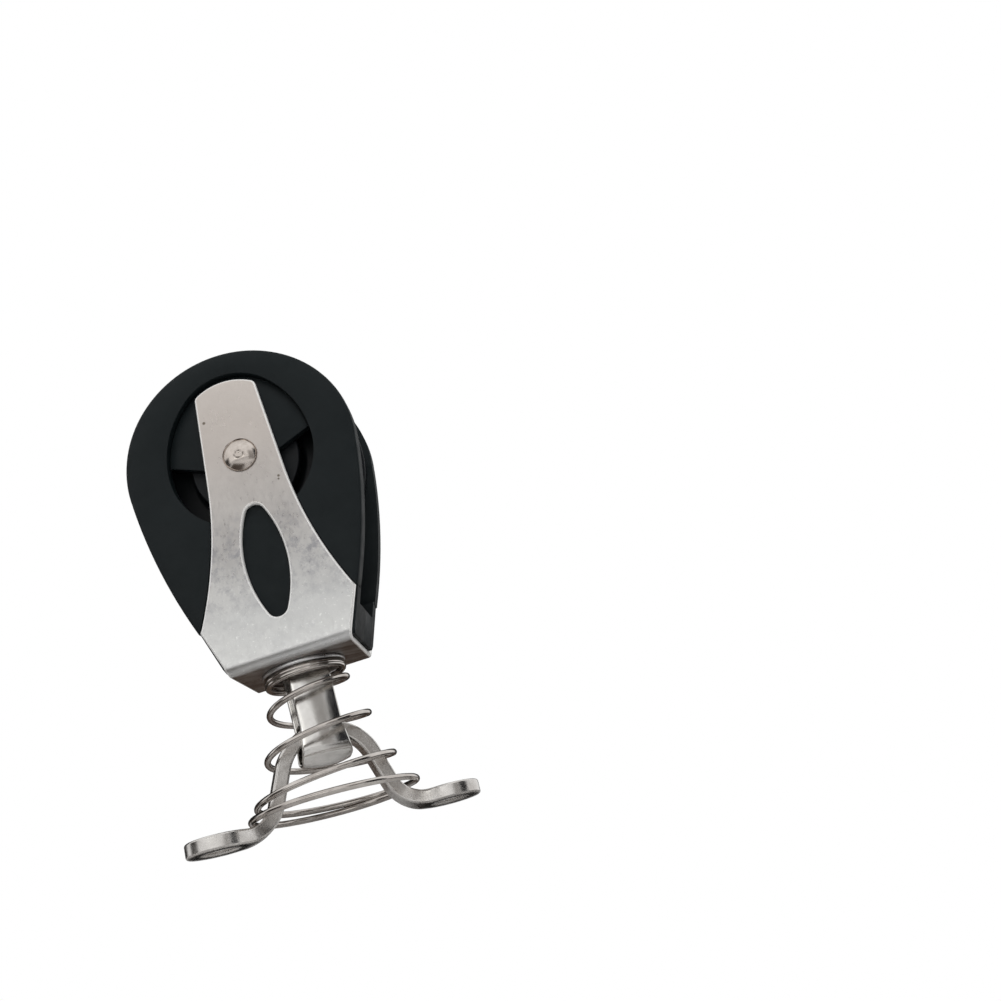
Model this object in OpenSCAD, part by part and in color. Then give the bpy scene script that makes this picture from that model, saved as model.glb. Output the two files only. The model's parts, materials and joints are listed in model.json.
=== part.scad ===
// Spring-supported stand-up swivel block on a deck saddle, for cord up to about 12 mm.
// Units are millimetres. Z is up, the origin is on the deck plane at the middle of the
// saddle, and X runs along the saddle through its two screw holes.

/* [Saddle] */
// Thickness of the saddle's strip
saddle_t = 3.5; // [2.5:0.1:5]
// Width of the strip over the bow
bow_w = 5.0; // [4:0.1:8]
// Rounding along the edges of the bow and legs
bow_edge = 0.6; // [0.3:0.1:1.7]
// Radius of the bow, to the middle of the strip
bow_r = 11.9; // [9:0.1:16]
// Height of the bow's crown above the deck
bow_top = 25.1; // [20:0.1:32]
// Lean of the legs away from upright
leg_lean = 20; // [5:1:35]
// Radius of the ankle, to the middle of the strip
ankle_r = 9; // [6:0.1:14]
// Distance between the two screw holes
hole_gap = 56.4; // [48:0.1:70]
// Outside diameter of each foot
foot_d = 15.5; // [12:0.1:20]
// Diameter of each screw hole
foot_hole_d = 8.4; // [5:0.1:10]
// Diameter of the countersink at the top of a foot
sink_d = 12.4; // [9:0.1:15]
// Depth of the countersink
sink_h = 2.0; // [0.5:0.1:3]

/* [Swivel link] */
// Width of the link's strip
link_w = 10.4; // [7:0.1:13]
// Width of the link at its loop
link_w_low = 12.8; // [7:0.1:15]
// Thickness of the link's strip
link_t = 1.7; // [1.2:0.1:3]
// Clearance between a leg of the link and the side of the bow
link_gap = 0.5; // [0.2:0.05:1]
// Height of the underside of the link's loop above the deck
link_bottom = 14.4; // [10:0.1:20]
// Clearance between the post's foot and the bow's crown
crown_gap = 0.7; // [0.3:0.1:2]

/* [Swivel post] */
// Diameter of the post
post_d = 7.8; // [5:0.1:10]
// Running clearance of the post, on the radius
post_play = 0.1; // [0.05:0.01:0.2]
// Diameter of the post's head
post_head_d = 12; // [10:0.1:16]
// Height of the post's head
post_head_h = 2.4; // [1.5:0.1:4]
// Width of the post's foot along X
post_foot_w = 9; // [6:0.1:10]
// Diameter of the thrust washer
washer_d = 13.6; // [11:0.1:18]
// Thickness of the thrust washer
washer_t = 1.0; // [0.6:0.1:2]

/* [Spring] */
// Diameter of the spring wire
wire_d = 1.6; // [1.2:0.1:3]
// Radius of the small turns, to the middle of the wire
coil_r_top = 9.5; // [7:0.1:13]
// Radius of the large turns, to the middle of the wire
coil_r_low = 20.5; // [15:0.1:26]
// Diameter of the spring's seat washer
seat_d = 21; // [17:0.1:26]
// Thickness of the seat washer
seat_t = 1.0; // [0.6:0.1:2]

/* [Block] */
// Height of the sheave's axle above the deck
axle_h = 94.4; // [80:0.1:120]
// Turn of the block about the post, as it stands
block_turn = -24.5; // [-180:0.5:180]
// Lean of the block along the bow, as it stands
block_lean = -2.6; // [-10:0.1:10]
// Distance from the axle down to the underside of the strap
strap_down = 54.8; // [46:0.1:66]
// Radius of the round end of the cheeks
cheek_r = 30; // [24:0.1:40]
// Radius of the long curve of the cheeks' sides
side_r = 145; // [100:0.1:250]
// Angle below the axle where the long curve begins
side_from = 5.8; // [2:0.1:20]
// Distance across the outer faces of the cheeks
cheek_span = 26.4; // [22:0.1:34]
// Distance between the inner faces of the cheeks
throat_w = 18.2; // [14:0.1:24]
// Easing along the outer edge of the cheeks
cheek_edge = 0.7; // [0.2:0.1:2]
// Height of the throat's floor above the underside of the strap
floor_h = 15.0; // [12:0.1:20]

/* [Recess] */
// Half width of the round recess in each cheek
recess_r = 19; // [15:0.1:23]
// Height of the recess above the axle
recess_up = 23.7; // [18:0.1:27]
// Radius of the recess at its top
recess_end_r = 15.5; // [10:0.1:19]
// Depth of the web in the recess, below the cheek's face
web_deep = 1.7; // [0.8:0.1:3]
// Width of the groove round the web
web_groove = 0.45; // [0.2:0.05:1]
// Depth of the groove round the web, below the web
web_groove_h = 0.9; // [0.3:0.1:1.4]
// Half angle of the web, measured from straight up
web_angle = 68; // [50:1:85]
// Distance from the axle down to the point of the web
web_tip = 4.4; // [3.5:0.1:8]

/* [Head] */
// Height of the slot's lower edge above the underside of the strap
slot_at = 4.4; // [3:0.1:7]
// Height of the slot
slot_h = 2.0; // [1.4:0.1:4]
// Width of the slot
slot_w = 14.0; // [10:0.1:18]
// Height of the full slab above the underside of the strap
slab_h = 9.2; // [7:0.1:12]
// Half length of the solid core between the side pockets
core_x = 8; // [7.2:0.1:12]
// How far the head stands out past the strap's edges
head_proud = 0.35; // [0.2:0.05:1]
// Half length of the bar under the throat
bar_x = 14; // [9:0.1:18]
// Height of the bar under the throat
bar_h = 3.4; // [2:0.1:5]

/* [Strap] */
// Thickness of the strap's sheet
strap_t = 1.6; // [1:0.1:3]
// Distance across the strap's outer faces
strap_span = 27; // [22:0.1:34]
// Width of the strap at its bottom bend
strap_w_low = 30.6; // [24:0.1:40]
// Width of the strap at its shoulders
strap_w_mid = 39.4; // [30:0.1:50]
// Height of the shoulders above the underside of the strap
shoulder_h = 12.6; // [8:0.1:18]
// Width of the strap near its top
strap_w_top = 17; // [12:0.1:24]
// Height of the strap's top above the axle
strap_up = 21.8; // [16:0.1:26]
// Radius of the concave sides of the strap
strap_side_r = 104; // [70:1:200]
// Taper of the strap's upper part
strap_taper = 4.36; // [1:0.01:8]
// Height, from the axle, where the concave sides begin
strap_bend_z = -6; // [-12:0.1:0]
// Radius of the strap's top edge
strap_end_r = 14.5; // [10:0.1:20]
// Rounding of the strap's two top corners
strap_corner_r = 1.8; // [0.8:0.1:4]
// Outer radius of the two bends at the bottom
strap_bend_r = 2.6; // [1.8:0.1:5]
// Half width of the window
window_w = 5.35; // [4:0.1:8]
// Half height of the window
window_h = 15; // [10:0.1:19]
// Radius at the ends of the window
window_end_r = 2.6; // [1.5:0.1:5]
// Distance from the axle down to the middle of the window
window_down = 29; // [24:0.1:36]
// Width of the strap's edge that hides the rib under it
rib_in = 1.2; // [0.5:0.1:3]
// Clearance round the strap in the cheek's channel
channel_gap = 0.25; // [0.2:0.05:1]

/* [Sheave and axle] */
// Outside diameter of the sheave
sheave_d = 57; // [48:0.1:70]
// Diameter at the bottom of the groove
tread_d = 49; // [40:0.1:60]
// Radius of the groove
groove_r = 6.4; // [4:0.1:9]
// Width of the sheave's rim
rim_w = 17.2; // [12:0.1:22]
// Radius of the hub's face
hub_r = 14.2; // [9:0.1:18]
// Gap between the hub's face and the cheek
hub_gap = 0.25; // [0.1:0.05:0.6]
// Half thickness of the disc between hub and rim
disc_half = 4; // [2.5:0.1:7]
// Thickness of the rim under the groove
rim_wall = 2.2; // [1.2:0.1:4]
// Diameter of the bearing sleeve
sleeve_d = 10; // [8:0.1:14]
// Running clearance of the sheave on its sleeve, on the radius
sleeve_play = 0.08; // [0.03:0.01:0.2]
// Diameter of the axle rivet's shank
axle_d = 6; // [4:0.1:9]
// Clearance of the shank in its holes, on the radius
axle_play = 0.05; // [0.02:0.01:0.1]
// Diameter of the rivet's domed heads
rivet_head_d = 8.9; // [7:0.1:14]
// Height of the domed heads
rivet_head_h = 1.7; // [0.8:0.1:3]
// Diameter of the dimple in each domed head
dimple_d = 2.2; // [1:0.1:4]

/* [Clearances] */
// Room between pieces that touch in use
seat_gap = 0.05; // [0.02:0.01:0.2]
// Room between the post's head and the roof of its cavity
head_gap = 0.3; // [0.1:0.05:1]
// Room between the spring and the saddle's ankles
spring_gap = 0.2; // [0.1:0.05:1]

/* [Hidden] */
$fn = 96;
eps = 0.01;

// Saddle
bow_z = bow_top - saddle_t / 2 - bow_r;
leg_x0 = bow_r * cos(leg_lean);
leg_z0 = bow_z + bow_r * sin(leg_lean);
ankle_dz = ankle_r * (1 - sin(leg_lean));
leg_z1 = saddle_t / 2 + ankle_dz;
leg_x1 = leg_x0 + (leg_z0 - leg_z1) * tan(leg_lean);
ankle_x = leg_x1 + ankle_r * cos(leg_lean);
ankle_z = saddle_t / 2 + ankle_r;
foot_x = hole_gap / 2;
joint_step = 0.02;
joint_lap = 0.6;
neck_x0 = leg_x1 + 1;
neck_x1 = foot_x - foot_d * 0.33;
neck_w1 = foot_d * 0.37;

// Levels of the head, above the deck
strap_z = axle_h - strap_down;
in_z = strap_z + strap_t;
slot_z = strap_z + slot_at;
slab_z = strap_z + slab_h;
floor_z = strap_z + floor_h;
bar_z = floor_z - bar_h;
washer_z = slot_z;
head_z = washer_z + washer_t;
cavity_z = head_z + post_head_h + head_gap;
cavity_d = washer_d + 2 * head_gap;

// Link and post
link_in = bow_w / 2 + link_gap;
link_out = link_in + link_t;
link_arc_z = link_bottom + link_out;
seat_z = strap_z - seat_t;
link_top = seat_z - 2 * seat_gap;
post_foot_z = bow_top + crown_gap;

// Spring: turns, radius and height of the wire's middle at chosen turns
coil_top_z = seat_z - wire_d / 2 - seat_gap;
spring_dx = max(0, ankle_x - coil_r_low + wire_d / 2);
spring_rest = ankle_z - sqrt(pow(ankle_r - saddle_t / 2, 2) - spring_dx * spring_dx);
coil_low_z = spring_rest + wire_d / 2 + spring_gap;
coil_step = wire_d + 2 * seat_gap;
coil_t = [0, 0.9, 1.9, 2.5, 3, 3.5, 4, 4.5, 5, 5.4, 5.85];
coil_r = [for (k = [0, 0, 0, 0.095, 0.282, 0.373, 0.564, 0.809, 0.964, 1, 1])
            coil_r_top + k * (coil_r_low - coil_r_top)];
coil_rise = coil_top_z - coil_low_z;
coil_z = [for (k = [1, 0.995, 1 - coil_step / coil_rise, 0.766, 0.61, 0.425, 0.279, 0.084,
                    0.038, 0.004, 0])
            coil_low_z + k * coil_rise];
coil_rings = 150;
coil_sides = 8;

// Cheeks
cheek_y = cheek_span / 2;
throat_y = throat_w / 2;
strap_y = strap_span / 2;
strap_in_y = strap_y - strap_t;
web_y = cheek_y - web_deep;
side_cx = (side_r - cheek_r) * cos(side_from);
side_cz = (side_r - cheek_r) * sin(side_from);
shoulder_z = shoulder_h - strap_down;
low_edge = strap_bend_r - strap_t + 0.05;
seam = 0.02;
side_lap = 1.5;

// Sheave
hub_y = throat_y - hub_gap;
groove_c = tread_d / 2 + groove_r;
rim_in_r = tread_d / 2 - rim_wall;
rim_round = 0.6;

// Points of an arc
function arc(cx, cy, r, a0, a1, n) =
  [for (i = [0:n]) [cx + r * cos(a0 + (a1 - a0) * i / n), cy + r * sin(a0 + (a1 - a0) * i / n)]];

// Side radius and join angle of an oval made of two long arcs and two end arcs
function oval_r(w, h, e) = ((h - e) * (h - e) - e * e + w * w) / (2 * (w - e));
function oval_a(w, h, e) = atan2(h - e, oval_r(w, h, e) - w);

// Upper half of an oval, from its right side over the top to its left side
function oval_top(w, h, e) =
  let (r = oval_r(w, h, e), a = oval_a(w, h, e))
  concat(arc(w - r, 0, r, 0, a, 15), arc(0, h - e, e, a + 4, 176 - a, 12),
         arc(r - w, 0, r, 180 - a, 180, 15));

// The lower half, from the left side back to the right
function oval_low(w, h, e) = [for (q = oval_top(w, h, e)) -q];

// Value at t on the line through the listed points
function along(ts, vs, t, i = 0) =
  i >= len(ts) - 2 || t < ts[i + 1]
    ? vs[i] + (vs[i + 1] - vs[i]) * (t - ts[i]) / (ts[i + 1] - ts[i])
    : along(ts, vs, t, i + 1);

// The same value, averaged over a short stretch so that the wire has no kinks
function eased(ts, vs, t, w = 0.22) =
  let (n = 6, lo = ts[0], hi = ts[len(ts) - 1])
  [for (k = [-n:n]) along(ts, vs, min(hi, max(lo, t + w * k / n)))]
    * [for (k = [-n:n]) 1] / (2 * n + 1);

// Places what leans with the link, along the bow
module on_link() {
  translate([0, 0, bow_z]) rotate([0, block_lean, 0]) translate([0, 0, -bow_z]) children();
}

// Ring sector of a strip's side view, a hair thinner than the straight lengths it joins
module strip_arc(r, a0, a1) {
  mid = (a0 + a1) / 2;
  half = (a1 - a0) / 2;
  intersection() {
    difference() {
      circle(r = r + saddle_t / 2 - joint_step);
      circle(r = r - saddle_t / 2 + joint_step);
    }
    rotate(mid)
      polygon([[0, 0], 3 * r * [cos(half), -sin(half)], [3 * r, 0],
               3 * r * [cos(half), sin(half)]]);
  }
}

// Section of the strip, with its rounded edges
module strip_section(thin = 0) {
  u = saddle_t / 2 - thin;
  v = bow_w / 2 - thin;
  r = bow_edge;
  translate([-u, -v + r]) square([2 * u, 2 * (v - r)]);
  translate([-u + r, -v]) square([2 * (u - r), 2 * v]);
  for (i = [-1, 1]) for (j = [-1, 1]) translate([i * (u - r), j * (v - r)]) circle(r = r, $fn = 32);
}

// Bow and legs of the saddle
module bow() {
  translate([0, 0, bow_z])
    rotate([90, 0, 0]) rotate([0, 0, leg_lean])
      rotate_extrude(angle = 180 - 2 * leg_lean) translate([bow_r, 0]) strip_section(joint_step);
  for (s = [0, 1]) {
    mirror([s, 0, 0])
      translate([leg_x0, 0, leg_z0]) rotate([0, 180 - leg_lean, 0])
        translate([0, 0, -joint_lap])
          linear_extrude(height = (leg_z0 - leg_z1) / cos(leg_lean) + 2 * joint_lap)
            strip_section();
  }
}

// Side view of the ankles and feet
module feet_side() {
  for (s = [0, 1]) {
    mirror([s, 0]) {
      translate([ankle_x, ankle_z]) strip_arc(ankle_r, 180 + leg_lean, 270);
      translate([ankle_x - joint_lap, 0])
        square([foot_x + foot_d / 2 - ankle_x + 1 + joint_lap, saddle_t]);
    }
  }
}

// Plan view of the ankles and feet
module feet_plan() {
  w = bow_w / 2 - joint_step;
  polygon([[-neck_x0, -w], [neck_x0, -w], [neck_x1, -neck_w1], [neck_x1, neck_w1],
           [neck_x0, w], [-neck_x0, w], [-neck_x1, neck_w1], [-neck_x1, -neck_w1]]);
  for (s = [-1, 1]) translate([s * foot_x, 0]) circle(d = foot_d);
}

module saddle() {
  color([0.80, 0.79, 0.77])
    difference() {
      union() {
        bow();
        intersection() {
          rotate([90, 0, 0])
            linear_extrude(height = foot_d + 2, center = true) feet_side();
          translate([0, 0, -1]) linear_extrude(height = bow_top + 2) feet_plan();
        }
      }
      for (s = [-1, 1]) {
        translate([s * foot_x, 0, -1]) cylinder(d = foot_hole_d, h = saddle_t + 2);
        translate([s * foot_x, 0, saddle_t - sink_h])
          cylinder(d1 = foot_hole_d, d2 = sink_d, h = sink_h);
        translate([s * foot_x, 0, saddle_t - eps]) cylinder(d = sink_d, h = 2);
      }
    }
}

// Outline of the link, seen along X
module link_shape(r) {
  translate([0, link_arc_z]) circle(r = r);
  translate([-r, link_arc_z]) square([2 * r, link_top - link_arc_z]);
}

// Front view of the link: wider at its loop
module link_front() {
  w = link_w / 2;
  v = link_w_low / 2;
  polygon([[-w, link_top + 1], [-w, post_foot_z - link_t], [-v, link_bottom + link_t],
           [-v + link_t / 2, link_bottom - 1], [v - link_t / 2, link_bottom - 1],
           [v, link_bottom + link_t], [w, post_foot_z - link_t], [w, link_top + 1]]);
}

module swivel_link() {
  color([0.80, 0.79, 0.77])
    on_link()
      intersection() {
        rotate([90, 0, 90])
          linear_extrude(height = 2 * link_w_low, center = true)
            difference() {
              link_shape(link_out);
              translate([0, link_arc_z]) circle(r = link_in);
              translate([-link_in, link_arc_z])
                square([2 * link_in, link_top - link_arc_z + 1]);
            }
        rotate([90, 0, 0]) linear_extrude(height = 4 * link_out, center = true) link_front();
      }
}

module swivel_post() {
  color([0.72, 0.71, 0.69])
    on_link() {
      translate([-post_foot_w / 2, -link_in, post_foot_z])
        cube([post_foot_w, 2 * link_in, link_top - post_foot_z]);
      translate([0, 0, link_top - joint_lap])
        cylinder(d = 2 * link_in - joint_lap, h = 3 * joint_lap);
      translate([0, 0, link_top + joint_step]) cylinder(d = post_d, h = head_z - link_top + 1);
      translate([0, 0, head_z]) cylinder(d = post_head_d, h = post_head_h);
    }
}

module thrust_washer() {
  color([0.62, 0.13, 0.10])
    on_link() translate([0, 0, washer_z])
      difference() {
        cylinder(d = washer_d, h = washer_t);
        translate([0, 0, -1]) cylinder(d = post_d + 2 * post_play, h = washer_t + 2);
      }
}

module seat_washer() {
  color([0.74, 0.73, 0.71])
    on_link() translate([0, 0, seat_z])
      difference() {
        cylinder(d = seat_d, h = seat_t);
        translate([0, 0, -1]) cylinder(d = post_d + 2 * post_play, h = seat_t + 2);
      }
}

// One point of the wire's middle line, upright and with the lean of its height
function wire_up(t) =
  let (r = eased(coil_t, coil_r, t), a = -360 * t)
  [r * cos(a), r * sin(a), eased(coil_t, coil_z, t)];
function leant(q) =
  let (k = min(1, max(0, (q[2] - coil_low_z) / coil_rise)), a = block_lean * k * (2 - k),
       h = q[2] - bow_z)
  [q[0] * cos(a) + h * sin(a), q[1], bow_z - q[0] * sin(a) + h * cos(a)];
function wire_at(t) = leant(wire_up(t));

module spring() {
  t_end = coil_t[len(coil_t) - 1];
  mid = [for (i = [0:coil_rings]) wire_at(t_end * i / coil_rings)];
  pts = [for (i = [0:coil_rings])
           let (q = mid[i], a = -360 * t_end * i / coil_rings, out = [cos(a), sin(a), 0])
           for (k = [0:coil_sides - 1])
             let (b = 360 * (k + 0.5) / coil_sides)
             q + (wire_d / 2) * (cos(b) * out + sin(b) * [0, 0, 1])];
  side = [for (i = [0:coil_rings - 1]) for (k = [0:coil_sides - 1])
            let (k2 = (k + 1) % coil_sides, a = i * coil_sides, b = a + coil_sides)
            [a + k, a + k2, b + k2, b + k]];
  last = coil_rings * coil_sides;
  caps = [[for (k = [coil_sides - 1:-1:0]) k], [for (k = [0:coil_sides - 1]) last + k]];
  color([0.66, 0.64, 0.60]) polyhedron(points = pts, faces = concat(side, caps), convexity = 8);
}

// Places a piece of the block: the axle is at [0, 0, 0] inside
module on_block() {
  on_link() rotate([0, 0, block_turn]) translate([0, 0, axle_h]) children();
}

// A drawing in the plane of the cheeks, given thickness between y0 and y1
module slab_y(y0, y1) {
  translate([0, y1, 0]) rotate([90, 0, 0]) linear_extrude(height = y1 - y0) children();
}

// An oval made of two long arcs and two end arcs
module oval(w, h, e) {
  polygon(concat(oval_top(w, h, e), oval_low(w, h, e)));
}

// Half width of the head beside the strap's lower part, at height z
function head_half(z) = strap_w_low / 2 + head_proud
  + (z + strap_down) * (strap_w_mid - strap_w_low) / 2 / shoulder_h;

// The head beside the strap's lower part, up to height z, drawn in by thin
module head_shape(z, thin = 0) {
  low = head_half(-strap_down) - thin;
  high = head_half(z) - thin;
  polygon([[-low, -strap_down], [low, -strap_down], [high, z], [-high, z]]);
}

// The part of a cheek's outline from the shoulders up to its round end
module cheek_band(cut) {
  translate([-2 * cheek_r, shoulder_z]) square([4 * cheek_r, cut - shoulder_z]);
}

// Layer of a cheek between depths y0 and y1, with its outline drawn in by g0 and g1 there
module cheek_layer(y0, y1, g0, g1) {
  cut = -cheek_r * sin(side_from) - side_lap;
  h = y1 - y0;
  translate([0, y1, 0]) rotate([90, 0, 0]) {
    intersection() {
      translate([-side_cx, side_cz]) cylinder(r1 = side_r - g1, r2 = side_r - g0, h = h, $fn = 360);
      translate([side_cx, side_cz]) cylinder(r1 = side_r - g1, r2 = side_r - g0, h = h, $fn = 360);
      linear_extrude(height = h) cheek_band(cut);
    }
    cylinder(r1 = cheek_r - g1, r2 = cheek_r - g0, h = h, $fn = 180);
  }
}

// Half width of the strap's upper part at height z
function strap_half(z, g) =
  strap_w_top / 2 + (15 - z) * tan(strap_taper) + g / cos(strap_taper);

// Height of the point on the top's inner circle that is below its corner's middle
function corner_z(x, f, g) =
  strap_up - strap_end_r + sqrt(pow(strap_end_r + g - f, 2) - x * x);

// Right half of the strap's outline, from the bottom to the top, grown by g
function strap_right(g) =
  let (t = strap_taper, f = strap_corner_r + g,
       cx = strap_half(strap_bend_z, 0) + strap_side_r * cos(t),
       cz = strap_bend_z + strap_side_r * sin(t),
       low = asin((cz - shoulder_z) / (strap_side_r - g)),
       x1 = strap_half(18, g) - f / cos(t), z1 = corner_z(x1, f, g),
       x2 = strap_half(z1, g) - f / cos(t), z2 = corner_z(x2, f, g),
       x3 = strap_half(z2, g) - f / cos(t), z3 = corner_z(x3, f, g),
       a = atan2(z3 - strap_up + strap_end_r, x3))
  concat([[strap_w_low / 2 + g, -strap_down - g], [strap_w_mid / 2 + g, shoulder_z - 0.2]],
         arc(cx, cz, strap_side_r - g, 180 + low, 180 + t, 28),
         arc(x3, z3, f, t, a, 8),
         arc(0, strap_up - strap_end_r, strap_end_r + g, a + 1.5, 90, 10));

// Outline of the strap's face, grown by g
module strap_shape(g = 0) {
  right = strap_right(g);
  n = len(right);
  polygon(concat(right, [for (i = [n - 2:-1:0]) [-right[i][0], right[i][1]]]));
}

// Seen along X: one half of the strap's bent section, and all of it
function bend_half(y, r, z0) = concat([[y, 2 * cheek_r]], arc(y - r, z0 + r, r, 0, -90, 10));
module strap_section() {
  outer = bend_half(strap_y, strap_bend_r, -strap_down);
  inner = bend_half(strap_in_y, strap_bend_r - strap_t, strap_t - strap_down);
  n = len(outer);
  polygon(concat(outer, [for (i = [n - 1:-1:0]) [-outer[i][0], outer[i][1]]],
                 [for (q = inner) [-q[0], q[1]]], [for (i = [n - 1:-1:0]) inner[i]]));
}

module strap() {
  color([0.78, 0.76, 0.73])
    on_block()
      difference() {
        intersection() {
          rotate([90, 0, 90]) linear_extrude(height = 2 * strap_w_mid, center = true) strap_section();
          slab_y(-strap_span, strap_span) strap_shape();
        }
        slab_y(-strap_span, strap_span)
          translate([0, -window_down]) oval(window_w, window_h, window_end_r);
        rotate([90, 0, 0])
          cylinder(d = axle_d + 2 * axle_play, h = 2 * strap_span, center = true);
        translate([0, 0, -strap_down - 1])
          cylinder(d = post_d + 2 * post_play, h = strap_t + 2);
      }
}

// Recess of a cheek, grown by g: round below the axle, drawn out above it
module recess_shape(g = 0) {
  polygon(concat(oval_top(recess_r + g, recess_up + g, recess_end_r + g),
                 arc(0, 0, recess_r + g, 185, 355, 34)));
}

// Wedge of the web, open downwards
module web_wedge() {
  translate([0, -web_tip])
    polygon([[0, 0], 3 * cheek_r * [sin(web_angle), cos(web_angle)], [0, 3 * cheek_r],
             3 * cheek_r * [-sin(web_angle), cos(web_angle)]]);
}

// The half-shell on the front, -Y side of the block
module half_shell() {
  deep = 2 * cheek_y;
  difference() {
    union() {
      // cheek, with its outer edge eased in two steps
      cheek_layer(-cheek_y + cheek_edge, -throat_y, 0, 0);
      cheek_layer(-cheek_y + 0.3 * cheek_edge, -cheek_y + cheek_edge, 0.3 * cheek_edge, 0);
      cheek_layer(-cheek_y, -cheek_y + 0.3 * cheek_edge, cheek_edge, 0.3 * cheek_edge);
      // slab, core and bar between the cheeks
      slab_y(-strap_in_y, -throat_y + 1) head_shape(shoulder_z + joint_lap);
      slab_y(-throat_y - 1, -seam) head_shape(slab_h - strap_down, 2 * joint_step);
      translate([-core_x, -throat_y - 1, slab_h - strap_down - 1])
        cube([2 * core_x, throat_y + 1 - seam, floor_h - slab_h + 1]);
      translate([-bar_x, -throat_y - 1, floor_h - bar_h - strap_down])
        cube([2 * bar_x, throat_y + 1 - seam, bar_h]);
    }
    // channel for the strap, and the room of its base
    slab_y(-deep, -strap_in_y) strap_shape(channel_gap);
    translate([-2 * strap_w_mid, -2 * cheek_y, -2 * strap_down])
      cube([4 * strap_w_mid, 4 * cheek_y, strap_down + strap_t]);
    // recess, its web with a groove round it, and the open sector below the web
    slab_y(-deep, -web_y)
      difference() {
        recess_shape();
        strap_shape();
      }
    slab_y(-deep, -web_y + web_groove_h)
      difference() {
        recess_shape();
        recess_shape(-web_groove);
        strap_shape();
      }
    slab_y(-deep, -throat_y / 2)
      difference() {
        recess_shape();
        web_wedge();
        strap_shape(-rib_in);
      }
    // slot for the washer from one side, the room of the post's head, and the post's hole
    translate([-2 * cheek_r, -slot_w / 2, slot_at - strap_down])
      cube([2 * cheek_r, slot_w, slot_h]);
    translate([0, 0, slot_at - strap_down]) cylinder(d = cavity_d, h = cavity_z - slot_z);
    translate([0, 0, -strap_down]) cylinder(d = post_d + 2 * post_play, h = slab_h / 2 + strap_t);
    rotate([90, 0, 0]) cylinder(d = axle_d + 2 * axle_play, h = 4 * cheek_y, center = true);
    // the strap's bend passes round this edge
    translate([0, -strap_in_y, strap_t - strap_down])
      rotate([45, 0, 0])
        cube([4 * strap_w_mid, 2 * low_edge * sin(45), 2 * low_edge * sin(45)], center = true);
  }
}

module front_shell() {
  color([0.06, 0.065, 0.07]) on_block() half_shell();
}

module rear_shell() {
  color([0.06, 0.065, 0.07]) on_block() mirror([0, 1, 0]) half_shell();
}

// Half section of the sheave, radius along X
module sheave_half() {
  r_out = sheave_d / 2;
  difference() {
    union() {
      translate([sleeve_d / 2 + sleeve_play, -hub_y])
        square([hub_r - sleeve_d / 2 - sleeve_play, 2 * hub_y]);
      translate([hub_r - 1, -disc_half]) square([rim_in_r - hub_r + 2, 2 * disc_half]);
      translate([rim_in_r, -rim_w / 2]) square([r_out - rim_round - rim_in_r, rim_w]);
      translate([rim_in_r, -rim_w / 2 + rim_round])
        square([r_out - rim_in_r, rim_w - 2 * rim_round]);
      for (s = [-1, 1])
        translate([r_out - rim_round, s * (rim_w / 2 - rim_round)])
          circle(r = rim_round, $fn = 24);
    }
    translate([groove_c, 0]) circle(r = groove_r);
  }
}

module sheave() {
  color([0.05, 0.055, 0.06])
    on_block() rotate([90, 0, 0]) rotate_extrude($fn = 144) sheave_half();
}

module axle_sleeve() {
  color([0.70, 0.69, 0.67])
    on_block() rotate([90, 0, 0])
      difference() {
        cylinder(d = sleeve_d, h = throat_w - 2 * seat_gap, center = true);
        cylinder(d = axle_d + 2 * axle_play, h = throat_w + 2, center = true);
      }
}

// Domed head, rising along +Z from its flat seat
module dome() {
  rr = (rivet_head_d * rivet_head_d / 4 + rivet_head_h * rivet_head_h) / (2 * rivet_head_h);
  difference() {
    intersection() {
      translate([0, 0, rivet_head_h - rr]) sphere(r = rr);
      cylinder(d = rivet_head_d, h = rivet_head_h + 1);
    }
    translate([0, 0, rivet_head_h + dimple_d * 0.36]) sphere(d = dimple_d);
  }
}

module axle_rivet() {
  color([0.76, 0.72, 0.66])
    on_block() {
      rotate([90, 0, 0]) cylinder(d = axle_d, h = strap_span + 4 * seat_gap, center = true);
      for (s = [0, 1]) {
        mirror([0, s, 0])
          translate([0, -strap_y, 0]) rotate([90, 0, 0]) dome();
      }
    }
}

saddle();
swivel_link();
swivel_post();
thrust_washer();
seat_washer();
spring();
strap();
front_shell();
rear_shell();
axle_rivet();
axle_sleeve();
sheave();
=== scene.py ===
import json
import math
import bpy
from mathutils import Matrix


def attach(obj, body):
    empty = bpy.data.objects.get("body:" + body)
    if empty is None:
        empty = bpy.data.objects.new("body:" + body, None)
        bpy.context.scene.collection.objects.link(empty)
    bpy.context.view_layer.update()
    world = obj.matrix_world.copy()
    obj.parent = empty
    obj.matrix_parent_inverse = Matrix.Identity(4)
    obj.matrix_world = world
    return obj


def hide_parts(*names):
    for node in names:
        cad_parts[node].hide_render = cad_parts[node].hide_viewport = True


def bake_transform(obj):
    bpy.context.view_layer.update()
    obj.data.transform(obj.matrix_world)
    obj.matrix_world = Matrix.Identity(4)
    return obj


bl_info = {
    "name": "Stand-up Swivel Block",
    "version": (1, 0, 0),
    "blender": (4, 5, 0),
    "location": "View3D > Sidebar > Block",
    "description": "Dresses the packed swivel block: saddle, spring, link, strap, shells and sheave",
    "category": "Object",
}

import bpy
from mathutils import Matrix, Vector

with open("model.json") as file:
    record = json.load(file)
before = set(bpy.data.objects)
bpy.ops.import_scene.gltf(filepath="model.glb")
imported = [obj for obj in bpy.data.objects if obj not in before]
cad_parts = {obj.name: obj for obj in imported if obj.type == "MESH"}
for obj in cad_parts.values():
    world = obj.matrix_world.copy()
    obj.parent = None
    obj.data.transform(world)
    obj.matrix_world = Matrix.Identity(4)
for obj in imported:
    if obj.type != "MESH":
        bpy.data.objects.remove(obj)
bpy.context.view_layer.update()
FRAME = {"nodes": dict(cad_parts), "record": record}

MM = 0.001

# The part's own sizes, in mm, as its source has them

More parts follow.
